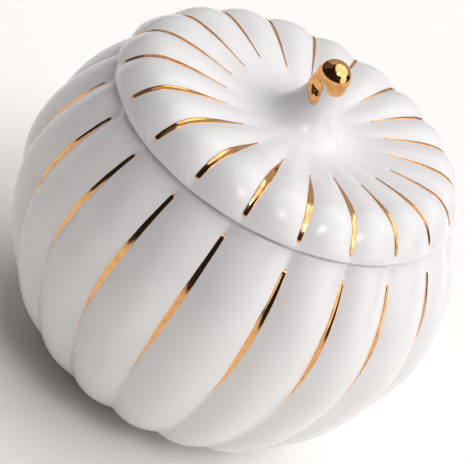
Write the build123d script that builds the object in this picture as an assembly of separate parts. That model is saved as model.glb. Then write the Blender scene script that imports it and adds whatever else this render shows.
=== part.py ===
"""A lidded ceramic jar in the shape of a ribbed pumpkin.

The jar is slip cast with ribs all round, stands on a bare foot ring and has a lift-off lid with a
stem for a knob.  Gold lustre is painted in the grooves of the jar and the lid and on the stem's tip.

Millimetres, +Z up.  The origin is the middle of the foot ring, where it stands.  The front is -Y.
"""
from build123d import *
import math
import os

# ---- driving dimensions -----------------------------------------------------------------------

LOBES = 20                   # ribs round the jar, and round the lid
JAR_WIDTH = 150.0            # across the ribs at the belly
JAR_HEIGHT = 104.2           # from the table to the seat that carries the lid
JAR_BASE_WIDTH = 69.4        # across the ribs where they meet the foot ring
LID_WIDTH = 121.2            # across the lid's round rim
BELLY_SHARE = 0.604          # height of the widest place, as a share of the jar's height
UNDER_CURVE = 1.5            # how slowly the wall turns in under the belly
UNDER_FULLNESS = 3.4         # how full the lower wall stays before it tucks under
GROOVE_SHARE = 0.955         # groove radius over rib radius on the jar
GROOVE_TURN_PER_MM = 0.058   # degrees that the jar's grooves lean round for each mm of height
FIRST_GROOVE = 213.2         # angle of one jar groove at the height where the lean is counted from
LEAN_ZERO_SHARE = 0.65       # that height, as a share of the jar's height
# The mould is carved by hand, so its grooves stand a little off even spacing, in degrees.
GROOVE_WANDER = (-0.5, -1.5, -1.5, -1.0, 1.0, 1.0, 0.0, 2.0, 1.0, -0.5,
                 -1.0, 0.5, 1.0, 0.5, -1.0, -1.0, 0.5, 1.0, 0.0, -0.5)
WALL_SECTIONS = 13           # level outlines that the outside is drawn through
HOLLOW_SECTIONS = 11         # the same for the inside

CLAY_WALL = 4.0              # cast wall of the jar
CLAY_FLOOR = 5.0             # floor of the jar above the foot ring
MOUTH_THICKNESS = 6.0        # height of the thick clay round the mouth
LIP_WIDTH = 9.8              # from the grooves at the top of the jar in to the mouth
SEAT_WIDTH = 8.0             # flat ring round the mouth that the lid rests on
SEAT_HEIGHT = 0.6            # how far that ring stands above the ribs
LID_OVERHANG = 3.2           # from the ribs at the top of the jar out to the lid's rim

FOOT_WIDTH = 65.0            # outside of the bare foot ring
FOOT_RING_WIDTH = 4.5        # its width, from outside to inside
FOOT_HEIGHT = 2.5

LID_RISE = 10.7              # highest groove of the lid above the seat
LID_EDGE = 3.8               # thickness of the lid's round rim
LID_EDGE_TUCK = 0.9          # how far the rim's upper and lower corners are rounded in
LID_LOBE_HEIGHT = 1.6        # how far the lid's ribs stand above its grooves
LID_LOBE_PEAK = 0.78         # where that is greatest, as a share of the way out to the rim
FIRST_LID_GROOVE = 212.5     # angle of one lid groove, seen from where the lid's ribs meet
LID_WALL = 4.0
LID_ROOF_SHARES = (0.26, 0.62)  # where the hollow's roof starts to rise, and where it is highest
LOBE_CENTRE = (3.8, -1.6)    # where the lid's ribs meet, a little off the lid's own middle
# Shares of the lid's radius and of its rise that each groove passes through.
LID_TOP = ((0.50, 0.88), (0.70, 1.00), (0.80, 0.97), (0.88, 0.82), (0.94, 0.53))
HUB_OVERLAP = 1.5            # how far the round hub under the stem is sunk into the ribs round it

FLANGE_DEPTH = 5.0           # ring under the lid that keeps it in the mouth
FLANGE_WIDTH = 3.5
LID_PLAY = 0.8               # running gap between that ring and the mouth

STEM_BASE_RADIUS = 13.0      # where the stem flares out on the lid
STEM_BASE_EDGE = 0.8
STEM_RECESS = 0.5            # depth of the round recess in the lid that the stem stands in
STEM_RECESS_GAP = 0.2        # round the stem's foot
STEM_SEAT = 7.5              # height of the flat on the lid that it stands on, above the jar's seat
STEM_FLARE_SLOPE = 0.25      # rise over run of the flare where it starts
STEM_NECK_RADIUS = 5.6
STEM_TIP_RADIUS = 5.0
STEM_NECK_RISE = 10.0        # from the stem's foot to its neck
STEM_TIP_RISE = 20.7         # from the stem's foot to the middle of its round tip
STEM_BORE_RADIUS = 2.4       # hole left where the slip was drained from the stem
STEM_BORE_RISE = 15.0

LUSTRE = 0.2                 # thickness given to the gold
LUSTRE_LIFT = 0.1            # gap that keeps the gold's curved faces off the glaze's
JAR_GOLD_WIDTH = 1.9
JAR_GOLD_TOP_GAP = 5.4       # from the seat down to the top of a line
JAR_GOLD_LENGTH = 46.0       # in height
LID_GOLD_WIDTH = 2.0
LID_GOLD_OUT = 0.945         # outer end, as a share of the way to the rim
LID_GOLD_IN = 0.52           # inner end
GOLD_POINT_WIDTH = 0.4       # width at a line's pointed end
GOLD_START_WIDTH = 0.45      # width at its round end, as a share of the full width
GOLD_START_LENGTH = 0.05     # share of a line's length that it takes to reach full width
GOLD_TAPER_START = 0.45      # share of its length where it starts to narrow
GOLD_TAPER_CURVE = 1.6       # how long it stays wide before it is drawn to a point
GOLD_STATIONS = (0, 0.02, 0.06, 0.2, 0.4, 0.6, 0.8, 1)  # shares of its length where its width is set
LID_GOLD_STATIONS = 8
TIP_GOLD_DROP = 4.5          # how far the gold runs down the stem from the middle of its tip

# ---- sizes that follow ------------------------------------------------------------------------

JAR_RADIUS = JAR_WIDTH / 2
LID_RADIUS = LID_WIDTH / 2
BELLY_HEIGHT = JAR_HEIGHT * BELLY_SHARE
LEAN_ZERO = JAR_HEIGHT * LEAN_ZERO_SHARE
LOBE_ANGLE = 360.0 / LOBES
JAR_TOP_HEIGHT = JAR_HEIGHT - SEAT_HEIGHT
JAR_TOP_RADIUS = LID_RADIUS - LID_OVERHANG
MOUTH_RADIUS = JAR_TOP_RADIUS * GROOVE_SHARE - LIP_WIDTH
FLANGE_RADIUS = MOUTH_RADIUS - LID_PLAY
LID_HOLLOW_RADIUS = FLANGE_RADIUS - FLANGE_WIDTH
STEM_RECESS_RADIUS = STEM_BASE_RADIUS + STEM_RECESS_GAP
FLOOR_HEIGHT = FOOT_HEIGHT + CLAY_FLOOR
CEILING_HEIGHT = JAR_HEIGHT - MOUTH_THICKNESS
TOP_SHARE = JAR_TOP_RADIUS / JAR_RADIUS
SHOULDER_REACH = (JAR_TOP_HEIGHT - BELLY_HEIGHT) / math.sqrt(1 - TOP_SHARE ** 2)
BASE_SHARE = JAR_BASE_WIDTH / JAR_WIDTH
UNDER_REACH = (BELLY_HEIGHT - FOOT_HEIGHT) / (1 - BASE_SHARE ** UNDER_FULLNESS) ** (1 / UNDER_CURVE)


def at(radius, angle, height):
    """The point at a radius and an angle in degrees round the jar's axis."""
    turn = math.radians(angle)
    return Vector(radius * math.cos(turn), radius * math.sin(turn), height)


# ---- the jar's ribbed wall --------------------------------------------------------------------

def rib_radius(height):
    """Outside radius over the ribs: an ellipse above the belly, a fuller curve below it."""
    if height >= BELLY_HEIGHT:
        return JAR_RADIUS * math.sqrt(1 - ((height - BELLY_HEIGHT) / SHOULDER_REACH) ** 2)
    drop = (BELLY_HEIGHT - height) / UNDER_REACH
    return JAR_RADIUS * (1 - drop ** UNDER_CURVE) ** (1 / UNDER_FULLNESS)


def wall_across(height):
    """Level thickness of the wall, which is thicker where the wall leans."""
    step = 0.5
    slope = (rib_radius(height + step) - rib_radius(height - step)) / (2 * step)
    return CLAY_WALL * math.hypot(1, slope)


def groove_angle(number, height):
    wander = GROOVE_WANDER[number % LOBES % len(GROOVE_WANDER)]
    return FIRST_GROOVE + number * LOBE_ANGLE + wander + GROOVE_TURN_PER_MM * (height - LEAN_ZERO)


def ribbed_section(height, inset):
    """Level outline of the wall: one arc for each rib, from groove to groove."""
    rib = rib_radius(height) - inset
    groove = rib_radius(height) * GROOVE_SHARE - inset
    arcs = []
    for number in range(LOBES):
        start = groove_angle(number, height)
        end = groove_angle(number + 1, height)
        crest = at(rib, (start + end) / 2, height)
        arcs.append(ThreePointArc(at(groove, start, height), crest, at(groove, end, height)))
    return Wire(arcs)


def spread(low, high, count):
    """Evenly spaced numbers from low to high."""
    return [low + (high - low) * index / (count - 1) for index in range(count)]


def ring(outside, inside, low, high):
    """A plain upright ring round the jar's axis."""
    rise = high - low
    blank = Cylinder(outside, rise) - Cylinder(inside, rise)
    return Pos(0, 0, (low + high) / 2) * blank


def make_jar_body():
    outside = [ribbed_section(height, 0) for height in spread(FOOT_HEIGHT, JAR_TOP_HEIGHT, WALL_SECTIONS)]
    inside = []
    for height in spread(FLOOR_HEIGHT, CEILING_HEIGHT, HOLLOW_SECTIONS):
        inside.append(ribbed_section(height, wall_across(height)))
    seat_height = JAR_HEIGHT - MOUTH_THICKNESS / 2
    seat = Pos(0, 0, seat_height) * Cylinder(MOUTH_RADIUS + SEAT_WIDTH, MOUTH_THICKNESS)
    mouth = Pos(0, 0, JAR_HEIGHT) * Cylinder(MOUTH_RADIUS, 4 * MOUTH_THICKNESS)
    return Solid.make_loft(outside) + seat - Solid.make_loft(inside) - mouth


def make_foot_ring():
    return ring(FOOT_WIDTH / 2, FOOT_WIDTH / 2 - FOOT_RING_WIDTH, 0, FOOT_HEIGHT)


def rib_reach(number, height, off_groove):
    """Outside radius of a rib's wall a small angle in from the groove at either side of it."""
    rib = rib_radius(height)
    groove = rib * GROOVE_SHARE
    half = math.radians(groove_angle(number + 1, height) - groove_angle(number, height)) / 2
    bulge = rib - groove * math.cos(half)
    arc = ((groove * math.sin(half)) ** 2 + bulge ** 2) / (2 * bulge)
    middle = rib - arc
    turn = half - math.radians(off_groove)
    return middle * math.cos(turn) + math.sqrt(arc ** 2 - (middle * math.sin(turn)) ** 2)


def brush_width(width, share):
    """Width of a painted line: round at its start, full, then drawn out to a point."""
    start = min(1, GOLD_START_WIDTH + (1 - GOLD_START_WIDTH) * share / GOLD_START_LENGTH)
    narrowed = max(0, (share - GOLD_TAPER_START) / (1 - GOLD_TAPER_START))
    taper = 1 - narrowed ** GOLD_TAPER_CURVE
    return GOLD_POINT_WIDTH + (width - GOLD_POINT_WIDTH) * start * taper


def make_jar_gold_line(number):
    """Gold in one groove of the jar, folded into the groove's corner."""
    top = JAR_HEIGHT - JAR_GOLD_TOP_GAP
    sections = []
    for share in GOLD_STATIONS:
        height = top - JAR_GOLD_LENGTH * share
        angle = groove_angle(number, height)
        half = math.degrees(brush_width(JAR_GOLD_WIDTH, share) / 2 / rib_radius(height))
        before = rib_reach(number - 1, height, half)
        corner = rib_reach(number, height, 0)
        after = rib_reach(number, height, half)
        under = [(-half, before), (0, corner), (half, after)]
        over = [(off, reach + LUSTRE) for off, reach in reversed(under)]
        corners = [at(reach + LUSTRE_LIFT, angle + off, height) for off, reach in under + over]
        sections.append(Wire.make_polygon(corners))
    return Solid.make_loft(sections)


# ---- the lid ----------------------------------------------------------------------------------

def lid_point(angle, out, height):
    """A point out from where the lid's ribs meet, at a height above the seat."""
    turn = math.radians(angle)
    x = LOBE_CENTRE[0] + out * math.cos(turn)
    y = LOBE_CENTRE[1] + out * math.sin(turn)
    return Vector(x, y, JAR_HEIGHT + height)


def lid_reach(angle):
    """From where the ribs meet out to the lid's round rim."""
    turn = math.radians(angle)
    along = LOBE_CENTRE[0] * math.cos(turn) + LOBE_CENTRE[1] * math.sin(turn)
    across = LOBE_CENTRE[0] * math.sin(turn) - LOBE_CENTRE[1] * math.cos(turn)
    return math.sqrt(LID_RADIUS ** 2 - across ** 2) - along


def lid_lobe(share):
    """Height of a rib over the grooves beside it: none at the rim, none at the stem."""
    return LID_LOBE_HEIGHT * math.sin(math.pi * share ** (math.log(0.5) / math.log(LID_LOBE_PEAK)))


def lid_groove_angle(number):
    return FIRST_LID_GROOVE + number * LOBE_ANGLE


def lid_outline(angle, rib):
    """Upright half section of the lid at an angle, in a groove (rib 0) or over a rib (rib 1)."""
    reach = lid_reach(angle)
    corner = reach - LID_EDGE_TUCK
    top = [lid_point(angle, STEM_RECESS_RADIUS, STEM_SEAT + STEM_RECESS)]
    for share, rise in LID_TOP:
        top.append(lid_point(angle, share * reach, rise * LID_RISE + rib * lid_lobe(share)))
    top.append(lid_point(angle, corner, LID_EDGE))
    low_corner = lid_point(angle, corner, 0)
    foot = lid_point(angle, STEM_RECESS_RADIUS, 0)
    rim = ThreePointArc(top[-1], lid_point(angle, reach, LID_EDGE / 2), low_corner)
    return Wire([Spline(top), rim, Line(low_corner, foot), Line(foot, top[0])])


def lid_rib_faces(number):
    """The skin of one rib of the lid, from groove to groove, without its two flat sides."""
    start = lid_groove_angle(number)
    middle = lid_outline(start + LOBE_ANGLE / 2, 1)
    wedge = Solid.make_loft([lid_outline(start, 0), middle, lid_outline(start + LOBE_ANGLE, 0)])
    return [face for face in wedge.faces() if face.geom_type != GeomType.PLANE]


def lid_hollow():
    """The space under the lid: a flat roof under the stem, then a wall's thickness below the grooves."""
    start, end = LID_ROOF_SHARES
    low = JAR_HEIGHT + STEM_SEAT - LID_WALL
    high = JAR_HEIGHT + lid_groove_height(end) - LID_WALL
    level = (1, 0, 0)
    rise = Spline((start * LID_RADIUS, 0, low), (end * LID_RADIUS, 0, high), tangents=(level, level))
    rest = Polyline(rise @ 1, (LID_HOLLOW_RADIUS, 0, high), (LID_HOLLOW_RADIUS, 0, JAR_HEIGHT),
                    (0, 0, JAR_HEIGHT), (0, 0, low), rise @ 0)
    return revolve(make_face(Wire([rise, *rest.edges()])), Axis.Z)


def make_lid_shell():
    x, y = LOBE_CENTRE
    hub_low = (STEM_SEAT - LID_WALL) / 2
    hub_height = STEM_SEAT - hub_low
    hub_middle = JAR_HEIGHT + STEM_SEAT - hub_height / 2
    hub = Pos(x, y, hub_middle) * Cylinder(STEM_RECESS_RADIUS + HUB_OVERLAP, hub_height)
    drain = Pos(x, y, JAR_HEIGHT) * Cylinder(STEM_BORE_RADIUS, 4 * STEM_SEAT)
    faces = []
    for number in range(LOBES):
        faces.extend(lid_rib_faces(number))
    return Solid(Shell(faces)) + hub - lid_hollow() - drain


def make_lid_flange():
    return ring(FLANGE_RADIUS, LID_HOLLOW_RADIUS, JAR_HEIGHT - FLANGE_DEPTH, JAR_HEIGHT)


def lid_groove_height(share):
    """Height of a groove over the seat, read off the same curve as the lid's outline."""
    angle = lid_groove_angle(0)
    reach = lid_reach(angle)
    curve = lid_outline(angle, 0).edges()[0]
    low, high = 0.0, 1.0
    for _ in range(40):
        middle = (low + high) / 2
        point = curve @ middle
        out = math.hypot(point.X - LOBE_CENTRE[0], point.Y - LOBE_CENTRE[1])
        if out < share * reach:
            low = middle
        else:
            high = middle
    return (curve @ low).Z - JAR_HEIGHT


def make_lid_gold_line(number, groove_heights):
    """Gold in one groove of the lid, from near the rim in towards the stem."""
    angle = lid_groove_angle(number)
    reach = lid_reach(angle)
    sections = []
    for share, height in groove_heights:
        out = share * reach
        along = (LID_GOLD_OUT - share) / (LID_GOLD_OUT - LID_GOLD_IN)
        half = math.degrees(brush_width(LID_GOLD_WIDTH, along) / 2 / out)
        side = 1 - (1 - half / (LOBE_ANGLE / 2)) ** 2
        edge_height = height + lid_lobe(share) * side + LUSTRE_LIFT
        under = [(-half, edge_height), (0, height + LUSTRE_LIFT), (half, edge_height)]
        over = [(off, rise + LUSTRE) for off, rise in reversed(under)]
        corners = []
        for off, rise in under + over:
            across = out / math.cos(math.radians(off))
            corners.append(lid_point(angle + off, across, rise))
        sections.append(Wire.make_polygon(corners))
    return Solid.make_loft(sections)


# ---- the stem ---------------------------------------------------------------------------------

def stem_outline(grow):
    """The stem's side from its foot to its neck, then up to the round tip."""
    foot = JAR_HEIGHT + STEM_SEAT + STEM_BASE_EDGE
    neck = JAR_HEIGHT + STEM_SEAT + STEM_NECK_RISE
    tip = JAR_HEIGHT + STEM_SEAT + STEM_TIP_RISE
    flare = Spline((STEM_BASE_RADIUS + grow, 0, foot), (STEM_NECK_RADIUS + grow, 0, neck),
                   tangents=((-1, 0, STEM_FLARE_SLOPE), (0, 0, 1)))
    side = Line((STEM_NECK_RADIUS + grow, 0, neck), (STEM_TIP_RADIUS + grow, 0, tip))
    half = math.sqrt(0.5) * (STEM_TIP_RADIUS + grow)
    cap = ThreePointArc((STEM_TIP_RADIUS + grow, 0, tip), (half, 0, tip + half),
                        (0, 0, tip + STEM_TIP_RADIUS + grow))
    return flare, side, cap


def turned(edges):
    """The closed outline turned round the stem's own upright axis."""
    x, y = LOBE_CENTRE
    return Pos(x, y, 0) * revolve(make_face(Wire(edges)), Axis.Z)


def make_stem():
    low = JAR_HEIGHT + STEM_SEAT
    flare, side, cap = stem_outline(0)
    foot = (STEM_BASE_RADIUS, 0, low)
    edge = Line(foot, flare @ 0)
    axis_line = Polyline(cap @ 1, (0, 0, low), foot)
    x, y = LOBE_CENTRE
    bore = Pos(x, y, low) * Cylinder(STEM_BORE_RADIUS, 2 * STEM_BORE_RISE)
    return turned([edge, flare, side, cap, *axis_line.edges()]) - bore


def make_stem_gold_tip():
    """A thin cap over the stem's round tip and the top of its side."""
    inner_side, inner_cap = stem_outline(LUSTRE_LIFT)[1:]
    outer_side, outer_cap = stem_outline(LUSTRE_LIFT + LUSTRE)[1:]
    share = 1 - TIP_GOLD_DROP / (STEM_TIP_RISE - STEM_NECK_RISE)
    inner_low = inner_side @ share
    outer_low = outer_side @ share
    edges = [Line(inner_low, inner_side @ 1), inner_cap, Line(inner_cap @ 1, outer_cap @ 1),
             outer_cap, Line(outer_side @ 1, outer_low), Line(outer_low, inner_low)]
    return turned(edges)


# ---- write one file for each piece ------------------------------------------------------------

def main():
    os.makedirs("parts", exist_ok=True)
    pieces = {
        "jar_body": make_jar_body(),
        "foot_ring": make_foot_ring(),
        "lid_shell": make_lid_shell(),
        "lid_flange": make_lid_flange(),
        "stem": make_stem(),
        "stem_gold_tip": make_stem_gold_tip(),
    }
    shares = spread(LID_GOLD_OUT, LID_GOLD_IN, LID_GOLD_STATIONS)
    groove_heights = [(share, lid_groove_height(share)) for share in shares]
    for number in range(LOBES):
        pieces[f"jar_gold_line_{number + 1:02d}"] = make_jar_gold_line(number)
        pieces[f"lid_gold_line_{number + 1:02d}"] = make_lid_gold_line(number, groove_heights)
    for name, piece in pieces.items():
        piece.label = name
        export_step(piece, f"parts/{name}.step")


main()
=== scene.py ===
"""The finish of a lidded pumpkin jar: glaze, fired gold and bare clay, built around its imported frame.

Metres, +Z up, the front is -Y.  Each operator makes one piece or one group of like pieces.
"""
import bmesh
import bpy
import math
import random
from mathutils import Matrix, Vector, noise


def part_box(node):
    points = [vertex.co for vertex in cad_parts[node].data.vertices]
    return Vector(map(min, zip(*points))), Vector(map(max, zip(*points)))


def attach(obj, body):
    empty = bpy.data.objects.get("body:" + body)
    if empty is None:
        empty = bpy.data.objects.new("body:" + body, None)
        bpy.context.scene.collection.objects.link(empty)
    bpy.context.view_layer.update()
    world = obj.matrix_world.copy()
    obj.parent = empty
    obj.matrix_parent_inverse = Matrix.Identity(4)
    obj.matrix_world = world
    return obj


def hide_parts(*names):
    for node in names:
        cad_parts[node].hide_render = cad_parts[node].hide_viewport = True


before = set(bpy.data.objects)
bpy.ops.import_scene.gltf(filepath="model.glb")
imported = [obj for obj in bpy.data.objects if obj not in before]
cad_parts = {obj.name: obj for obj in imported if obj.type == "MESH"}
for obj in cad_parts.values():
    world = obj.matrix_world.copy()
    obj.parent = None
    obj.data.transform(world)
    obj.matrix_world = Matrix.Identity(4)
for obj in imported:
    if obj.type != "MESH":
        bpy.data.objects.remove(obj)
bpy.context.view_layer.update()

bl_info = {
    "name": "Pumpkin jar",
    "version": (1, 0, 0),
    "blender": (4, 5, 0),
    "location": "View3D > Sidebar > Pumpkin jar",
    "description": "Makes a glazed, gilded pumpkin jar with a lid that lifts off, and a pale stage for it",
    "category": "Add Mesh",
}

MM = 0.001
RIBS = 20
STEPS_PER_RIB = 20
SPIN_STEPS = RIBS * STEPS_PER_RIB
GROOVE = 0.955                                 # groove radius over rib radius: sets how round a rib swells


def width_of(node):
    low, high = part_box(node)
    return high.x - low.x


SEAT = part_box("lid_shell")[0].z               # where the lid rests on the jar
FOOT_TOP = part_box("jar_body")[0].z
FOOT_RADIUS = width_of("foot_ring") / 2
FOOT_INSIDE = FOOT_RADIUS - 4.5 * MM
LID_RADIUS = width_of("lid_shell") / 2
FLANGE_RADIUS = width_of("lid_flange") / 2
FLANGE_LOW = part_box("lid_flange")[0].z
FLANGE_INSIDE = FLANGE_RADIUS - 3.5 * MM
STEM_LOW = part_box("stem")[0].z
STEM_MIDDLE = (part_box("stem")[0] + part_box("stem")[1]) / 2
BORE = 2.4 * MM                                # radius of the drain hole up into the stem


# ---- what a user would change -----------------------------------------------------------------

def length(name, description, default):
    return bpy.props.FloatProperty(name=name, description=description, default=default,
                                   unit="LENGTH", subtype="DISTANCE")


def angle(name, description, degrees):
    return bpy.props.FloatProperty(name=name, description=description, default=math.radians(degrees),
                                   unit="ROTATION", subtype="ANGLE")


def share(name, description, default):
    return bpy.props.FloatProperty(name=name, description=description, default=default, min=0, max=4)


def colour(name, description, default):
    return bpy.props.StringProperty(name=name, description=description, default=default)


class JarSizes(bpy.types.PropertyGroup):
    """Sizes of the ribbed bowl."""
    radius: length("Radius", "Over the ribs at the belly", 75 * MM)
    base_radius: length("Base radius", "Over the ribs at the foot", 34.7 * MM)
    top_radius: length("Top radius", "Over the ribs at the seat", LID_RADIUS - 1.4 * MM)
    belly_height: length("Belly height", "Height of the widest place", SEAT * 0.604)
    wall: length("Wall", "Thickness of the cast wall", 4 * MM)
    mouth_radius: length("Mouth radius", "Inside of the mouth", FLANGE_RADIUS + 0.8 * MM)
    groove: share("Groove", "Groove radius over rib radius", GROOVE)
    crease: share("Crease", "Softness of the groove's corner, as a share of a rib's width", 0.035)


class LidSizes(bpy.types.PropertyGroup):
    """Sizes of the lid."""
    rise: length("Rise", "Highest groove over the seat", 10.7 * MM)
    rib: length("Rib", "Height of the ribs over the grooves", 1.9 * MM)
    scallop: length("Scallop", "How far the rim draws in at each groove", 0.6 * MM)
    edge: length("Edge", "Thickness of the rim's round edge", 1.9 * MM)
    centre_x: length("Rib centre X", "Where the ribs meet", STEM_MIDDLE.x)
    centre_y: length("Rib centre Y", "Where the ribs meet", STEM_MIDDLE.y)


class GoldSizes(bpy.types.PropertyGroup):
    """Sizes and colour of the painted gold."""
    jar_width: length("Jar line width", "Widest part of a line on the jar", 2.35 * MM)
    film: length("Film", "How far the gold stands above the glaze", 0.1 * MM)
    colour: colour("Gold", "Colour of the fired gold, as sRGB hex", "EDB274")


class GlazeLooks(bpy.types.PropertyGroup):
    """Colours of the glaze and the clay."""
    glaze: colour("Glaze", "Colour of the white glaze, as sRGB hex", "EEECEB")
    clay: colour("Clay", "Colour of the bare fired clay, as sRGB hex", "E2D9CB")


class StageLooks(bpy.types.PropertyGroup):
    """The floor, the lights and the camera."""
    floor: colour("Floor", "Colour of the floor, as sRGB hex", "FAF8F4")
    elevation: angle("Elevation", "How high the camera stands over level", 29.94)
    roll: angle("Roll", "Turn of the picture", 29.92)
    pan: angle("Pan", "How far the lid's middle lies right of the lens's axis", 1.69)
    tilt: angle("Tilt", "How far the lid's middle lies above the lens's axis", 2.87)
    distance: length("Distance", "From the lid's middle to the camera", 10 * LID_RADIUS)
    lens: bpy.props.FloatProperty(name="Lens", description="Focal length", default=147.1, unit="CAMERA")


def sizes(name):
    return getattr(bpy.context.scene, "pumpkin_" + name)


# ---- small tools ------------------------------------------------------------------------------

def smooth_between(points, x):
    """Height at x of a smooth curve through (x, height) points, in order."""
    xs = [point[0] for point in points]
    ys = [point[1] for point in points]
    if x <= xs[0]:
        return ys[0]
    if x >= xs[-1]:
        return ys[-1]
    here = max(index for index in range(len(xs) - 1) if xs[index] <= x)
    before, after = max(here - 1, 0), min(here + 2, len(xs) - 1)
    width = xs[here + 1] - xs[here]
    start_slope = (ys[here + 1] - ys[before]) / (xs[here + 1] - xs[before])
    end_slope = (ys[after] - ys[here]) / (xs[after] - xs[here])
    t = (x - xs[here]) / width
    blend = t * t * (3 - 2 * t)
    start = t * (1 - t) ** 2 * width * start_slope
    end = t * t * (t - 1) * width * end_slope
    return ys[here] + (ys[here + 1] - ys[here]) * blend + start + end


def step(low, high, x):
    """0 below low, 1 above high and a smooth rise between them."""
    t = min(1, max(0, (x - low) / (high - low)))
    return t * t * (3 - 2 * t)


def spread(low, high, count):
    return [low + (high - low) * index / (count - 1) for index in range(count)]


def round_corner(centre, radius, start, end, count=6, weight=0):
    """Outline points on a round corner, from one angle to another in degrees, all of one weight."""
    points = []
    for angle in spread(start, end, count):
        turn = math.radians(angle)
        points.append((centre[0] + radius * math.cos(turn), centre[1] + radius * math.sin(turn), weight))
    return points


def ring_outline(inside, outside, low, top, corner):
    """Outline of a plain ring whose two lower corners are round."""
    outline = [(inside, top, 0)]
    outline += round_corner((inside + corner, low + corner), corner, 180, 270)
    outline += round_corner((outside - corner, low + corner), corner, 270, 360)
    return outline + [(outside, top, 0)]


def spun(profile, steps=SPIN_STEPS, closed=False):
    """A bmesh of an outline of (radius, height, weight) points turned round Z, which keeps the weights."""
    bm = bmesh.new()
    layer = bm.verts.layers.float.new("weight")
    verts = []
    for radius, height, weight in profile:
        vert = bm.verts.new((radius, 0, height))
        vert[layer] = weight
        verts.append(vert)
    pairs = list(zip(verts, verts[1:]))
    if closed:
        pairs.append((verts[-1], verts[0]))
    edges = [bm.edges.new(pair) for pair in pairs]
    bmesh.ops.spin(bm, geom=verts + edges, cent=(0, 0, 0), axis=(0, 0, 1), dvec=(0, 0, 0),
                   angle=math.tau, steps=steps, use_merge=True, use_duplicate=False)
    poles = [vert for vert in bm.verts if math.hypot(vert.co.x, vert.co.y) < 1e-7]
    bmesh.ops.remove_doubles(bm, verts=poles, dist=1e-6)
    return bm


def finished(bm, name, materials, body, nodes):
    """The bmesh as a smooth piece that rides on a body and stands for its CAD nodes."""
    bmesh.ops.recalc_face_normals(bm, faces=bm.faces)
    for face in bm.faces:
        face.smooth = True
    mesh = bpy.data.meshes.new(name)
    bm.to_mesh(mesh)
    bm.free()
    for material in materials:
        mesh.materials.append(material)
    piece = bpy.data.objects.new(name, mesh)
    bpy.context.scene.collection.objects.link(piece)
    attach(piece, body)
    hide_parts(*nodes)
    return piece


def linear(hex_colour):
    """An sRGB hex colour as linear RGBA."""
    channels = [int(hex_colour[index:index + 2], 16) / 255 for index in (0, 2, 4)]
    channels = [c / 12.92 if c <= 0.04045 else ((c + 0.055) / 1.055) ** 2.4 for c in channels]
    return (*channels, 1)


# ---- the shape of the ribbed jar --------------------------------------------------------------

FIRST_GROOVE = 213.2                           # degrees round from +X
LEAN_PER_METRE = 58.0                          # degrees that the grooves turn for each metre of height
LEAN_ZERO = SEAT * 0.65                        # height where FIRST_GROOVE is measured
RIB_TOP = SEAT - 0.6 * MM                      # height where the curve over the ribs ends
# The mould was carved by hand, so its grooves wander a little from even spacing, in degrees.
GROOVE_WANDER = (-0.5, -1.5, -1.5, -1.0, 1.0, 1.0, 0.0, 2.0, 1.0, -0.5,
                 -1.0, 0.5, 1.0, 0.5, -1.0, -1.0, 0.5, 1.0, 0.0, -0.5)


def groove_angle(number, height):
    """Angle in degrees of a jar groove at a height; the number may be any whole number."""
    wander = GROOVE_WANDER[number % RIBS]
    return FIRST_GROOVE + number * 360 / RIBS + wander + LEAN_PER_METRE * (height - LEAN_ZERO)


def rib_radius(jar, height):
    """Outside radius over the ribs: an ellipse above the belly, a fuller curve below it."""
    under_curve, under_fullness = 1.5, 3.4
    if height >= jar.belly_height:
        reach = (RIB_TOP - jar.belly_height) / math.sqrt(1 - (jar.top_radius / jar.radius) ** 2)
        return jar.radius * math.sqrt(1 - ((height - jar.belly_height) / reach) ** 2)
    base = jar.base_radius / jar.radius
    reach = (jar.belly_height - FOOT_TOP) / (1 - base ** under_fullness) ** (1 / under_curve)
    drop = (jar.belly_height - height) / reach
    return jar.radius * (1 - drop ** under_curve) ** (1 / under_fullness)


def rib_share(across, crease):
    """How far a rib swells at a place across it: 0 in the groove, 1 on its middle, with a soft crease."""
    near = min(across, 1 - across)
    near = (math.hypot(near, crease) - crease) / (math.hypot(0.5, crease) - crease) / 2
    half = math.pi / RIBS
    bulge = 1 - GROOVE * math.cos(half)
    arc = ((GROOVE * math.sin(half)) ** 2 + bulge ** 2) / (2 * bulge)
    turn = half * (1 - 2 * near)
    middle = 1 - arc
    reach = middle * math.cos(turn) + math.sqrt(arc ** 2 - (middle * math.sin(turn)) ** 2)
    return (reach - GROOVE) / (1 - GROOVE)


def across_rib(turn):
    """Which rib a spin angle falls in, and how far across it, with the steps drawn in to the grooves."""
    drawn_in = 0.75
    ribs = turn / math.tau * RIBS
    number = math.floor(ribs + 1e-6)
    even = ribs - number
    return number, even - drawn_in * math.sin(math.tau * even) / math.tau


def jar_point(jar, radius, number, across, height, weight):
    """A point of the jar's wall: radius over the ribs, less the groove's depth by weight."""
    start, end = groove_angle(number, height), groove_angle(number + 1, height)
    turn = math.radians(start + (end - start) * across)
    depth = rib_radius(jar, height) * (1 - jar.groove) * (1 - rib_share(across, jar.crease))
    uneven = noise.noise(Vector((math.cos(turn), math.sin(turn), height / (50 * MM))) * 1.7) - 1
    hand_made = 0.2 * MM
    reach = radius - depth * weight + uneven * hand_made * weight
    return Vector((reach * math.cos(turn), reach * math.sin(turn), height))


def rib_weight(height):
    """How much of their depth the grooves keep: all of it on the body, less under the lid's rim."""
    return 1 - 0.5 * step(SEAT - 4 * MM, SEAT - 0.5 * MM, height)


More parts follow.
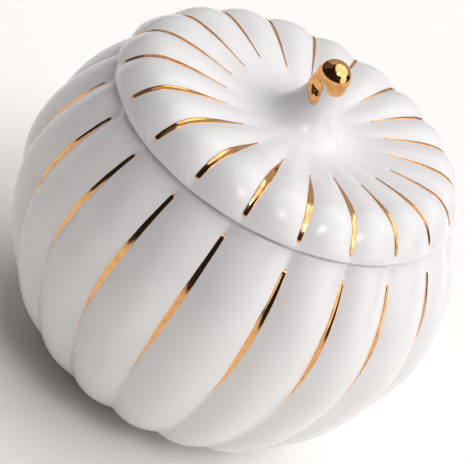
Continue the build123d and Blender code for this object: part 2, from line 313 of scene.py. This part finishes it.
def jar_profile(jar):
    """Outline of the jar from under its floor, up the outside, over the mouth and down the inside."""
    recess = FOOT_TOP + 0.4 * MM
    recess_edge = FOOT_INSIDE + 0.4 * MM
    outline = [(0, recess, 0), (recess_edge - 1.4 * MM, recess, 0), (recess_edge, recess, 0),
               (recess_edge, FOOT_TOP, 0), (FOOT_RADIUS + 0.5 * MM, FOOT_TOP, 0.3)]
    # round the heel into the ribs
    heel = 1.2 * MM
    for turn in spread(0.5, math.pi / 2, 8):
        radius = jar.base_radius - heel * (1 - math.sin(turn))
        outline.append((radius, FOOT_TOP + heel / 6 * (1 - math.cos(turn)), 1))
    # up the ribs, with more rows near both ends
    shoulder = RIB_TOP - 0.3 * MM
    reach = shoulder - FOOT_TOP
    for turn in spread(0, math.pi, 96)[1:]:
        height = FOOT_TOP + reach * (1 - math.cos(turn)) / 2
        outline.append((rib_radius(jar, height), height, rib_weight(height)))
    # over the shoulder, close under the lid's rim, to the flat seat, where the ribs die out
    corner, slope = 2.0 * MM, 42
    lean = math.radians(slope)
    middle = (rib_radius(jar, shoulder) - corner * math.cos(lean), shoulder - corner * math.sin(lean))
    outline += [(r, z, rib_weight(z)) for r, z, plain in round_corner(middle, corner, slope, 90)[1:]]
    seat_edge = jar.mouth_radius + 8 * MM
    outline += [(seat_edge, SEAT - 0.2 * MM, 0.1), (seat_edge - 0.5 * MM, SEAT, 0)]
    # over the mouth's round edge, down its wall and out under it
    corner = 1.0 * MM
    outline += round_corner((jar.mouth_radius + corner, SEAT - corner), corner, 90, 180)
    ceiling = SEAT - 6 * MM
    corner = 1.5 * MM
    outline += [(jar.mouth_radius, ceiling + corner, 0)]
    outline += round_corner((jar.mouth_radius + corner, ceiling + corner), corner, 180, 270)
    # down the inside, a wall's thickness in from the outside, and over a soft corner to the floor
    floor = FOOT_TOP + 5 * MM
    corner = 0.8 * MM
    for height in spread(ceiling - corner, floor + corner, 60):
        outline.append((inner_radius(jar, height), height, 0.8))
    outline += [(inner_radius(jar, floor + corner) - 2 * MM, floor + 0.15 * MM, 0.4), (30 * MM, floor, 0.1),
                (15 * MM, floor, 0), (0, floor, 0)]
    return outline


def inner_radius(jar, height):
    """Inside radius under the ribs, a wall in from the outside along the wall's own slope."""
    nudge = 0.5 * MM
    slope = (rib_radius(jar, height + nudge) - rib_radius(jar, height - nudge)) / (2 * nudge)
    return rib_radius(jar, height) - jar.wall * math.hypot(1, slope)


class PUMPKIN_OT_jar(bpy.types.Operator):
    """Make the ribbed bowl of the jar, glazed inside and out, with a bare seat for the lid"""
    bl_idname = "pumpkin.jar"
    bl_label = "Jar"

    def execute(self, context):
        jar = sizes("jar")
        bm = spun(jar_profile(jar))
        weight = bm.verts.layers.float["weight"]
        for vert in bm.verts:
            radius = math.hypot(vert.co.x, vert.co.y)
            if radius < 1e-7:
                continue
            number, across = across_rib(math.atan2(vert.co.y, vert.co.x) % math.tau)
            vert.co = jar_point(jar, radius, number, across, vert.co.z, vert[weight])
        # the flat seat stays bare, so that the lid doesn't fire on
        seat_edge = jar.mouth_radius + 7.6 * MM
        for face in bm.faces:
            middle = face.calc_center_median()
            if middle.z > SEAT - 0.12 * MM and math.hypot(middle.x, middle.y) < seat_edge:
                face.material_index = 1
        finished(bm, "jar_bowl", [white_glaze(), bare_clay()], "jar", ["jar_body"])
        return {"FINISHED"}


class PUMPKIN_OT_foot(bpy.types.Operator):
    """Make the bare clay foot ring that the jar stands on"""
    bl_idname = "pumpkin.foot"
    bl_label = "Foot ring"

    def execute(self, context):
        outline = ring_outline(FOOT_INSIDE, FOOT_RADIUS, 0, FOOT_TOP + 0.3 * MM, corner=0.8 * MM)
        bm = spun(outline, steps=160, closed=True)
        finished(bm, "jar_foot", [bare_clay()], "jar", ["foot_ring"])
        return {"FINISHED"}


# ---- painted lines ----------------------------------------------------------------------------

def stroke_width(along, rough):
    """Share of full width along a brush stroke: a narrow round start, a swell, then drawn to a point."""
    start = math.sqrt(min(1, along / 0.02 + 0.12))
    swell = 0.6 + 0.4 * step(-0.1, 0.38, along)
    taper = 1 - step(0.42, 1.03, along) ** 1.1
    return max(0.06, start * swell * taper * (1 + rough))


STROKE_DEPTH = 0.15 * MM                       # how thick a stroke's mesh is, most of it sunk in the glaze
SUNK = 0.02 * MM                               # how far a stroke's edges lie under the glaze
EDGE_ROUGHNESS = 0.09                          # how much a stroke's width wanders, as a share of it


def film_height(gold, side):
    """How far the gold stands over the glaze at a place across a stroke, from -1 to 1."""
    return gold.film * (1 - side ** 4) - SUNK


def stroke(place, length_steps, seed, width_steps=8):
    """A bmesh of one stroke. place(along, side, rough) gives a point of it: along is a share of its length,
    side runs from -1 to 1 across it, and rough is how much the width wanders there."""
    bm = bmesh.new()
    bmesh.ops.create_grid(bm, x_segments=length_steps, y_segments=width_steps, size=0.5)
    for vert in bm.verts:
        along, side = vert.co.x + 0.5, vert.co.y * 2
        rough = EDGE_ROUGHNESS * noise.noise(Vector((along * 9, seed, side)))
        vert.co = place(along, side, rough)
    bmesh.ops.recalc_face_normals(bm, faces=bm.faces)
    return bm


# How far below the seat the front lines start and end, in millimetres.
JAR_LINE_TOPS = (5.4, 4.6, 4.2, 4.9, 6.3, 5.6, 6.4, 7.0)
JAR_LINE_ENDS = (48, 50, 60, 62, 56, 51, 43, 38)


def jar_line_ends(number):
    """How far below the seat a jar line starts and ends: as painted on the front, then as a hand varies."""
    if number < len(JAR_LINE_TOPS):
        return JAR_LINE_TOPS[number] * MM, JAR_LINE_ENDS[number] * MM
    hand = random.Random(number)
    return hand.uniform(4.4, 6.8) * MM, hand.uniform(42, 58) * MM


class PUMPKIN_OT_jar_gold(bpy.types.Operator):
    """Brush gold into the grooves of the jar, one stroke to each groove"""
    bl_idname = "pumpkin.jar_gold"
    bl_label = "Gold on the jar"

    def execute(self, context):
        jar, gold = sizes("jar"), sizes("gold")
        material = gold_lustre()
        for number in range(RIBS):
            top, end = jar_line_ends(number)

            def place(along, side, rough):
                height = SEAT - top - (end - top) * along
                half = gold.jar_width / 2 * stroke_width(along, rough)
                gap = math.radians(groove_angle(number + 1, height) - groove_angle(number, height))
                across = side * half / (gap * rib_radius(jar, height))
                radius = rib_radius(jar, height) + film_height(gold, side)
                rib = number if across >= 0 else number - 1
                return jar_point(jar, radius, rib, across % 1, height, 1)

            bm = stroke(place, 64, number)
            bmesh.ops.solidify(bm, geom=bm.faces[:], thickness=STROKE_DEPTH)
            finished(bm, f"jar_gold_{number + 1:02d}", [material], "jar",
                     [f"jar_gold_line_{number + 1:02d}"])
        return {"FINISHED"}


# ---- the lid ----------------------------------------------------------------------------------

FIRST_LID_GROOVE = 212.5                       # degrees round from +X
LID_PEAK = 0.70                                # share of the way out where the lid is highest
RIM_SHOULDER = 0.988                           # share of the way out where the rim's round edge starts
RIM_ROLL = 50                                  # degrees above level where that edge starts


def lid_groove_angle(number):
    return FIRST_LID_GROOVE + number * 360 / RIBS


def lid_reach(centre, turn):
    """From a point near the lid's middle out to its round rim."""
    along = centre.x * math.cos(turn) + centre.y * math.sin(turn)
    across = centre.x * math.sin(turn) - centre.y * math.cos(turn)
    return math.sqrt(LID_RADIUS ** 2 - across ** 2) - along


def lid_groove_height(lid, out):
    """Height of a groove: a dish round the stem, then a full roll down to the rim."""
    dip, fall = 0.28, 0.923                    # how far it sinks to the stem and to the rim, of its rise
    dish = 1 - dip + dip * step(0.2, LID_PEAK, out)
    roll = fall * (max(0, out - LID_PEAK) / (1 - LID_PEAK)) ** 3.2
    return lid.rise * (dish - roll)


def lid_skin(lid, along, across):
    """Share of the way out and height over the seat, at a place on the lid's skin.

    Along runs from 0 in the lid's middle to 1 on the rim's shoulder and 2 under the rim.
    """
    out = min(along, 1) * RIM_SHOULDER
    crease = 0.9 * MM / (math.tau / RIBS * max(out, 0.1) * LID_RADIUS)
    bulge = rib_share(across, crease)
    height = lid_groove_height(lid, out)
    if along > 1:
        start = math.radians(RIM_ROLL)
        turn = start - (math.pi / 2 + start) * (along - 1)
        bead = lid.edge / 2
        out += bead / LID_RADIUS * (math.cos(turn) - math.cos(start))
        height = max(0.1 * MM, height + bead * (math.sin(turn) - math.sin(start)))
    inset = lid.scallop / LID_RADIUS * step(0.8, 1, along) * (1 - bulge)
    swell = step(0.12, 0.85, along) ** 1.6 - 0.75 * step(0.85, 1.15, along) ** 1.5
    return out - inset, height + lid.rib * max(0, swell) * bulge


def lid_point(lid, out, number, across, height, ribbed):
    """A point of the lid: ribbed 1 is centred where the ribs meet, ribbed 0 on the round rim's middle."""
    turn = math.radians(lid_groove_angle(number + across))
    centre = Vector((lid.centre_x, lid.centre_y, 0)) * ribbed
    reach = lid_reach(centre, turn) * out
    return Vector((centre.x + reach * math.cos(turn), centre.y + reach * math.sin(turn), SEAT + height))


def lid_height_at(lid, x, y):
    """Height of the lid's skin over the seat above a place."""
    centre = Vector((lid.centre_x, lid.centre_y, 0))
    turn = math.atan2(y - centre.y, x - centre.x)
    away = math.hypot(x - centre.x, y - centre.y) / lid_reach(centre, turn)
    across = (math.degrees(turn) - FIRST_LID_GROOVE) / 360 * RIBS % 1
    return lid_skin(lid, away / RIM_SHOULDER, across)[1]


def lid_underside():
    """Outline under the lid from the rim in, as (share of the rim's radius, height over seat, ribbed)."""
    bore = BORE / LID_RADIUS
    hollow = FLANGE_INSIDE / LID_RADIUS
    over_seat = 0.02 * MM
    outline = [(0.96, over_seat, 0.5), (0.92, over_seat, 0.2), (0.87, over_seat, 0), (hollow, over_seat, 0)]
    roof = ((hollow, 5.9), (0.62, 6.4), (0.55, 6.2), (0.45, 5.0), (0.35, 3.9), (0.26, 3.5))
    outline += [(out, height * MM, 0) for out, height in roof]
    hub = 3.5 * MM
    return outline + [(0.16, hub, 0.5), (0.09, hub, 1), (bore * 1.3, hub, 1), (bore, hub + 0.4 * MM, 1)]


class PUMPKIN_OT_lid(bpy.types.Operator):
    """Make the ribbed lid, glazed inside and out, with the drain hole under its stem"""
    bl_idname = "pumpkin.lid"
    bl_label = "Lid"

    def execute(self, context):
        lid = sizes("lid")
        skin = 1.0                             # a height that marks the skin's points until they are placed
        under_stem = STEM_LOW - SEAT
        profile = [(BORE, under_stem, 1), (0.1 * LID_RADIUS, under_stem, 1)]
        profile += [(along * LID_RADIUS, skin, along) for along in spread(0.12, 1, 90) + spread(1, 2, 16)[1:]]
        profile += [(out * LID_RADIUS, height, ribbed) for out, height, ribbed in lid_underside()]
        bm = spun(profile, closed=True)
        weight = bm.verts.layers.float["weight"]
        for vert in bm.verts:
            out = math.hypot(vert.co.x, vert.co.y) / LID_RADIUS
            number, across = across_rib(math.atan2(vert.co.y, vert.co.x) % math.tau)
            if vert.co.z > skin / 2:
                out, height = lid_skin(lid, vert[weight], across)
                vert.co = lid_point(lid, out, number, across, height, 1)
            else:
                vert.co = lid_point(lid, out, number, across, vert.co.z, vert[weight])
        finished(bm, "lid_dome", [white_glaze()], "lid", ["lid_shell"])
        return {"FINISHED"}


class PUMPKIN_OT_flange(bpy.types.Operator):
    """Make the ring under the lid that keeps it in the mouth"""
    bl_idname = "pumpkin.flange"
    bl_label = "Locating ring"

    def execute(self, context):
        outline = ring_outline(FLANGE_INSIDE, FLANGE_RADIUS, FLANGE_LOW, SEAT + 0.2 * MM, corner=1.4 * MM)
        bm = spun(outline, steps=200, closed=True)
        finished(bm, "lid_ring", [white_glaze()], "lid", ["lid_flange"])
        return {"FINISHED"}


# Full widths of the lid's lines in millimetres: brushed broad at the front and finer towards the back.
LID_LINE_WIDTHS = (2.2, 2.4, 2.5, 2.4, 2.3, 2.1, 1.8, 1.6, 1.4, 1.3,
                   1.2, 1.1, 1.0, 1.0, 1.0, 1.1, 1.1, 1.2, 1.3, 1.6)


class PUMPKIN_OT_lid_gold(bpy.types.Operator):
    """Brush gold into the grooves of the lid, one stroke to each groove"""
    bl_idname = "pumpkin.lid_gold"
    bl_label = "Gold on the lid"

    def execute(self, context):
        lid, gold = sizes("lid"), sizes("gold")
        material = gold_lustre()
        for number in range(RIBS):
            hand = random.Random(100 + number)
            start, end = hand.uniform(0.975, 0.99), hand.uniform(0.44, 0.54)

            def place(along, side, rough):
                share_out = start - (start - end) * along
                half = LID_LINE_WIDTHS[number] / 2 * MM * stroke_width(along, rough)
                across = side * half / (math.tau / RIBS * share_out * LID_RADIUS)
                out, height = lid_skin(lid, share_out, across % 1)
                return lid_point(lid, out, number, across, height + film_height(gold, side), 1)

            bm = stroke(place, 64, number)
            bmesh.ops.solidify(bm, geom=bm.faces[:], thickness=STROKE_DEPTH)
            finished(bm, f"lid_gold_{number + 1:02d}", [material], "lid",
                     [f"lid_gold_line_{number + 1:02d}"])
        return {"FINISHED"}


# ---- the stem ---------------------------------------------------------------------------------

# Height over the lid, radius, and how far the section sits left of the lid's rib centre, in millimetres.
STEM_SECTIONS = ((0.0, 23.5, 2.6), (0.1, 20.8, 2.7), (0.4, 18.4, 2.8), (1.0, 15.8, 2.9), (2.0, 13.3, 2.9),
                 (3.6, 11.0, 2.8), (6.0, 8.9, 2.5), (9.0, 7.3, 2.0), (12.5, 6.05, 1.5), (16.0, 5.5, 1.1),
                 (18.2, 5.42, 1.0), (20.1, 5.45, 0.95))
STEM_TIP = SEAT + 27.6 * MM                    # height of the middle of the round tip
STEM_FLAT = STEM_TIP - STEM_SECTIONS[-1][0] * MM   # height where the flare would end on a flat lid


def stem_section(height):
    """Radius and middle of the stem at a height."""
    over = (height - STEM_FLAT) / MM
    radius = smooth_between([(z, r) for z, r, left in STEM_SECTIONS], over) * MM
    left = smooth_between([(z, left) for z, r, left in STEM_SECTIONS], over) * MM
    return radius, Vector((STEM_MIDDLE.x - left, STEM_MIDDLE.y, 0))


class PUMPKIN_OT_stem(bpy.types.Operator):
    """Make the stem that is the lid's knob, drained from below, with a flare that dies out on the lid"""
    bl_idname = "pumpkin.stem"
    bl_label = "Stem"

    def execute(self, context):
        lid = sizes("lid")
        radius = stem_section(STEM_TIP)[0]
        foot = STEM_LOW - 0.3 * MM
        bore_end = foot + 15 * MM
        outline = [(0, bore_end, 0), (BORE * 0.7, bore_end - 0.6 * MM, 0), (BORE, bore_end - 2.2 * MM, 0),
                   (BORE, foot, 0), (STEM_SECTIONS[1][1] * MM, foot, 0)]
        rows = 70
        rise = STEM_TIP - STEM_FLAT
        for row in range(rows + 1):
            height = STEM_FLAT + rise * (row / rows) ** 2.2
            outline.append((stem_section(height)[0], height, 1))
        outline += round_corner((0, STEM_TIP), radius, 0, 90, 14, weight=1)[1:]
        outline[-1] = (0, STEM_TIP + radius, 1)
        bm = spun(outline, steps=200)
        weight = bm.verts.layers.float["weight"]
        for vert in bm.verts:
            if vert[weight] < 0.5:
                vert.co += Vector((STEM_MIDDLE.x, STEM_MIDDLE.y, 0))
                continue
            over = vert.co.z - STEM_FLAT
            vert.co += stem_section(min(vert.co.z, STEM_TIP))[1]
            on_lid = SEAT + lid_height_at(lid, vert.co.x, vert.co.y) - 0.03 * MM
            hold = 1 - step(1.5 * MM, 9 * MM, over)
            vert.co.z += (on_lid - STEM_FLAT) * hold
        finished(bm, "lid_stem", [white_glaze()], "lid", ["stem"])
        return {"FINISHED"}


# How far the gold has run down below the middle of the tip, in millimetres, by the angle round the stem.
TIP_RUNS = ((0, 3.2), (30, 3.0), (60, 4.4), (90, 5.4), (115, 3.6), (140, 4.0), (162, 5.4), (185, 5.9),
            (205, 6.5), (214, 7.3), (223, 8.2), (233, 8.6), (242, 8.4), (247, 6.4), (250, 2.2), (256, 1.1),
            (262, 1.8), (269, 3.1), (279, 3.6), (292, 3.8), (315, 3.8), (340, 3.6), (360, 3.2))
TIP_SLANT = 3.3                                # degrees that the runs drift round for each millimetre down
DRIP_SWELL = 0.75 * MM                         # how much thicker the gold is at the end of a long run
CRINKLE = 0.07 * MM                            # how far it puckers there as it dries


def tip_run(angle):
    """How far the gold has run down at an angle in degrees, with the crinkled edge of a hand-dipped film."""
    around = Vector((math.cos(math.radians(angle)), math.sin(math.radians(angle)), 0)) * 5
    return (smooth_between(TIP_RUNS, angle % 360) + 0.25 * noise.noise(around)) * MM


class PUMPKIN_OT_tip_gold(bpy.types.Operator):
    """Gild the round tip of the stem and let the gold run down it in drips"""
    bl_idname = "pumpkin.tip_gold"
    bl_label = "Gold on the stem"

    def execute(self, context):
        gold = sizes("gold")
        radius, middle = stem_section(STEM_TIP)
        rows = 40
        outline = [(radius, STEM_TIP - (rows - row) / rows * MM, 1) for row in range(rows)]
        outline += round_corner((0, STEM_TIP), radius + gold.film, 0, 90, 24)
        outline[-1] = (0, STEM_TIP + radius + gold.film, 0)
        bm = spun(outline, steps=360)
        weight = bm.verts.layers.float["weight"]
        for vert in bm.verts:
            if vert[weight] < 0.5:
                vert.co += middle
                continue
            turn = math.atan2(vert.co.y, vert.co.x)
            fall = (STEM_TIP - vert.co.z) / MM
            run = tip_run(math.degrees(turn) % 360)
            height = STEM_TIP - fall * run
            turn += math.radians(TIP_SLANT * fall * run / MM)
            section, shift = stem_section(height)
            crinkle = CRINKLE * noise.noise(Vector((turn * 4, height / MM * 0.9, 0))) * step(0.35, 0.9, fall)
            drop = gold.film + DRIP_SWELL * step(0, 1, fall) * step(3, 7, run / MM)
            reach = section + (drop + crinkle) * math.sqrt(max(0, 1 - fall ** 6)) - SUNK
            vert.co = Vector((shift.x + reach * math.cos(turn), shift.y + reach * math.sin(turn), height))
        bmesh.ops.recalc_face_normals(bm, faces=bm.faces)
        bmesh.ops.solidify(bm, geom=bm.faces[:], thickness=STROKE_DEPTH)
        finished(bm, "lid_tip_gold", [gold_lustre()], "lid", ["stem_gold_tip"])
        return {"FINISHED"}


# ---- materials --------------------------------------------------------------------------------

def add_node(tree, kind, settings=(), links=(), stops=()):
    """Add a node; settings are (input or attribute, value) pairs, links are (input, output socket) pairs,
    and stops are the (position, colour) pairs of a colour ramp."""
    node = tree.nodes.new(kind)
    for key, value in settings:
        if isinstance(key, str) and hasattr(node, key):
            setattr(node, key, value)
        else:
            node.inputs[key].default_value = value
    for key, output in links:
        tree.links.new(output, node.inputs[key])
    for index, (position, tint) in enumerate(stops):
        node.color_ramp.elements[index].position = position
        node.color_ramp.elements[index].color = tint
    return node


def new_material(name):
    """An empty material with its node tree, or the one already made and None."""
    made = bpy.data.materials.get(name)
    if made:
        return made, None
    material = bpy.data.materials.new(name)
    material.use_nodes = True
    material.node_tree.nodes.clear()
    return material, material.node_tree


def darker(tint, amount):
    """A linear colour times an amount."""
    return (*(channel * amount for channel in tint[:3]), 1)


def white_glaze():
    """Slip-cast earthenware under a dipped white glaze: a cool white with a wet shine, faintly uneven
    where the glaze flowed, and rippled like orange peel."""
    material, tree = new_material("slip_cast_white_gloss_glaze")
    if tree is None:
        return material
    flow_size, gloss_size, peel_size = 18 * MM, 9 * MM, 9 * MM
    white = linear(sizes("glaze").glaze)
    place = add_node(tree, "ShaderNodeTexCoord").outputs["Object"]
    flow = add_node(tree, "ShaderNodeTexNoise", [("Scale", 1 / flow_size), ("Detail", 3.0)],
                    [("Vector", place)])
    body = add_node(tree, "ShaderNodeValToRGB", links=[("Fac", flow.outputs["Fac"])],
                    stops=[(0.3, darker(white, 0.955)), (0.7, white)])
    gloss = add_node(tree, "ShaderNodeTexNoise", [("Scale", 1 / gloss_size), ("Detail", 2.0)],
                     [("Vector", place)])
    rough = add_node(tree, "ShaderNodeMapRange",
                     [("From Min", 0.3), ("From Max", 0.7), ("To Min", 0.19), ("To Max", 0.25)],
                     [("Value", gloss.outputs["Fac"])])
    peel = add_node(tree, "ShaderNodeTexNoise", [("Scale", 1 / peel_size), ("Detail", 2.0)],
                    [("Vector", place)])
    bump = add_node(tree, "ShaderNodeBump", [("Strength", 0.02), ("Distance", 0.1 * MM)],
                    [("Height", peel.outputs["Fac"])])
    shader = add_node(tree, "ShaderNodeBsdfPrincipled", [("IOR", 1.5)],
                      [("Base Color", body.outputs["Color"]), ("Roughness", rough.outputs["Result"]),
                       ("Normal", bump.outputs["Normal"])])
    add_node(tree, "ShaderNodeOutputMaterial", links=[("Surface", shader.outputs["BSDF"])])
    return material


def gold_lustre():
    """Gold lustre brushed on the fired glaze and fired again: a mirror-like warm gold film, browner
    where it is thin, with faint brush marks."""
    material, tree = new_material("brushed_fired_gold_lustre")
    if tree is None:
        return material
    film_size, mark_size = 2.5 * MM, 0.6 * MM
    thin, full = linear("DB9A5C"), linear(sizes("gold").colour)
    place = add_node(tree, "ShaderNodeTexCoord").outputs["Object"]
    film = add_node(tree, "ShaderNodeTexNoise", [("Scale", 1 / film_size), ("Detail", 4.0)],
                    [("Vector", place)])
    tint = add_node(tree, "ShaderNodeValToRGB", links=[("Fac", film.outputs["Fac"])],
                    stops=[(0.3, thin), (0.55, full)])
    marks = add_node(tree, "ShaderNodeTexNoise", [("Scale", 1 / mark_size), ("Detail", 3.0)],
                     [("Vector", place)])
    rough = add_node(tree, "ShaderNodeMapRange",
                     [("From Min", 0.3), ("From Max", 0.7), ("To Min", 0.07), ("To Max", 0.16)],
                     [("Value", marks.outputs["Fac"])])
    bump = add_node(tree, "ShaderNodeBump", [("Strength", 0.1), ("Distance", 0.05 * MM)],
                    [("Height", marks.outputs["Fac"])])
    shader = add_node(tree, "ShaderNodeBsdfPrincipled", [("Metallic", 1.0)],
                      [("Base Color", tint.outputs["Color"]), ("Roughness", rough.outputs["Result"]),
                       ("Normal", bump.outputs["Normal"])])
    add_node(tree, "ShaderNodeOutputMaterial", links=[("Surface", shader.outputs["BSDF"])])
    return material


def bare_clay():
    """Unglazed fired clay, sponged smooth: a dry, chalky cream with fine grain and no shine."""
    material, tree = new_material("sponged_unglazed_fired_clay")
    if tree is None:
        return material
    grit_size = 0.5 * MM
    clay = linear(sizes("glaze").clay)
    place = add_node(tree, "ShaderNodeTexCoord").outputs["Object"]
    grit = add_node(tree, "ShaderNodeTexNoise", [("Scale", 1 / grit_size), ("Detail", 5.0)],
                    [("Vector", place)])
    tint = add_node(tree, "ShaderNodeValToRGB", links=[("Fac", grit.outputs["Fac"])],
                    stops=[(0.35, darker(clay, 0.82)), (0.6, clay)])
    bump = add_node(tree, "ShaderNodeBump", [("Strength", 0.4), ("Distance", 0.1 * MM)],
                    [("Height", grit.outputs["Fac"])])
    shader = add_node(tree, "ShaderNodeBsdfPrincipled", [("Roughness", 0.85)],
                      [("Base Color", tint.outputs["Color"]), ("Normal", bump.outputs["Normal"])])
    add_node(tree, "ShaderNodeOutputMaterial", links=[("Surface", shader.outputs["BSDF"])])
    return material


def floor_paper():
    """Seamless white studio paper: matt, even and without texture."""
    material, tree = new_material("seamless_studio_paper")
    if tree is None:
        return material
    paper = linear(sizes("stage").floor)
    shader = add_node(tree, "ShaderNodeBsdfPrincipled", [("Base Color", paper), ("Roughness", 0.9)])
    add_node(tree, "ShaderNodeOutputMaterial", links=[("Surface", shader.outputs["BSDF"])])
    return material


# ---- the stage --------------------------------------------------------------------------------

def softbox(name, place, size, watts):
    """A rectangular lamp that faces the jar's middle."""
    middle = Vector((0, 0, 0.1))
    light = bpy.data.lights.new(name, "AREA")
    light.shape = "RECTANGLE"
    light.size, light.size_y = size
    light.energy = watts
    lamp = bpy.data.objects.new(name, light)
    lamp.location = place
    lamp.rotation_euler = (middle - Vector(place)).to_track_quat("-Z", "Y").to_euler()
    bpy.context.scene.collection.objects.link(lamp)


def far_light(name, towards, wide, strength, tint=(1, 1, 1)):
    """A soft light so far off that it falls evenly; wide is the angle in degrees that it fills in the sky."""
    light = bpy.data.lights.new(name, "SUN")
    light.angle = math.radians(wide)
    light.energy = strength
    light.color = tint
    lamp = bpy.data.objects.new(name, light)
    lamp.rotation_euler = Vector(towards).to_track_quat("Z", "Y").to_euler()
    bpy.context.scene.collection.objects.link(lamp)


def make_camera(stage):
    """A long lens that looks down on the lid, with the picture turned as a hand-held product shot is."""
    data = bpy.data.cameras.new("camera")
    data.lens = stage.lens
    data.sensor_width = 36
    data.clip_start, data.clip_end = 0.01, 20
    camera = bpy.data.objects.new("camera", data)
    back = Vector((0, -math.cos(stage.elevation), math.sin(stage.elevation)))
    up = Vector((0, math.sin(stage.elevation), math.cos(stage.elevation)))
    level = Matrix((Vector((1, 0, 0)), up, back)).transposed()
    rolled = level @ Matrix.Rotation(stage.roll, 3, "Z")
    aside = Vector((math.tan(stage.pan), math.tan(stage.tilt), -1))
    aim = aside.rotation_difference(Vector((0, 0, -1))).to_matrix()
    camera.matrix_world = (rolled @ aim).to_4x4()
    camera.location = Vector((0, 0, SEAT)) + back * stage.distance
    bpy.context.scene.collection.objects.link(camera)
    bpy.context.scene.camera = camera


class PUMPKIN_OT_stage(bpy.types.Operator):
    """Make the pale floor, the soft studio lights and the camera"""
    bl_idname = "pumpkin.stage"
    bl_label = "Stage"

    def execute(self, context):
        stage = sizes("stage")
        bm = bmesh.new()
        bmesh.ops.create_grid(bm, x_segments=2, y_segments=2, size=3)
        mesh = bpy.data.meshes.new("floor")
        bm.to_mesh(mesh)
        bm.free()
        mesh.materials.append(floor_paper())
        floor = bpy.data.objects.new("floor", mesh)
        context.scene.collection.objects.link(floor)
        world = bpy.data.worlds.new("studio")
        world.use_nodes = True
        background = world.node_tree.nodes["Background"]
        background.inputs["Color"].default_value = (1, 1, 1, 1)
        background.inputs["Strength"].default_value = 0.02
        context.scene.world = world
        context.scene.view_settings.view_transform = "Standard"
        # a broad light from above and the right, a small one that glints on the front ribs, a large soft
        # one behind, a weak one from the left and a low one from the right
        far_light("ceiling", towards=(0.42, 0.1, 1.0), wide=80, strength=2.2, tint=(1, 0.985, 1))
        far_light("key", towards=(0.35, -0.65, 1.0), wide=16, strength=0.5)
        softbox("backdrop", place=(0.1, 1.4, 1.2), size=(3.6, 2.2), watts=12)
        softbox("side", place=(-1.5, 0.6, 1.3), size=(1.8, 1.8), watts=1.2)
        far_light("window", towards=(1.0, -0.25, 0.32), wide=45, strength=0.75)
        make_camera(stage)
        return {"FINISHED"}


# ---- add-on ------------------------------------------------------------------------------------

OPERATORS = (PUMPKIN_OT_jar, PUMPKIN_OT_foot, PUMPKIN_OT_jar_gold, PUMPKIN_OT_lid, PUMPKIN_OT_flange,
             PUMPKIN_OT_lid_gold, PUMPKIN_OT_stem, PUMPKIN_OT_tip_gold, PUMPKIN_OT_stage)
GROUPS = {"jar": JarSizes, "lid": LidSizes, "gold": GoldSizes, "glaze": GlazeLooks, "stage": StageLooks}


class PUMPKIN_PT_panel(bpy.types.Panel):
    """Lists the pieces of the jar."""
    bl_label = "Pumpkin jar"
    bl_idname = "PUMPKIN_PT_panel"
    bl_space_type = "VIEW_3D"
    bl_region_type = "UI"
    bl_category = "Pumpkin jar"

    def draw(self, context):
        for operator in OPERATORS:
            self.layout.operator(operator.bl_idname)
        for name, group in GROUPS.items():
            box = self.layout.box()
            box.label(text=name.capitalize())
            for key in group.__annotations__:
                box.prop(sizes(name), key)


def register():
    for name, group in GROUPS.items():
        bpy.utils.register_class(group)
        setattr(bpy.types.Scene, "pumpkin_" + name, bpy.props.PointerProperty(type=group))
    for made in (*OPERATORS, PUMPKIN_PT_panel):
        bpy.utils.register_class(made)


def unregister():
    for made in (PUMPKIN_PT_panel, *reversed(OPERATORS)):
        bpy.utils.unregister_class(made)
    for name, group in reversed(GROUPS.items()):
        delattr(bpy.types.Scene, "pumpkin_" + name)
        bpy.utils.unregister_class(group)


def main():
    register()
    for operator in OPERATORS:
        family, name = operator.bl_idname.split(".")
        getattr(getattr(bpy.ops, family), name)()


if __name__ == "__main__":
    main()
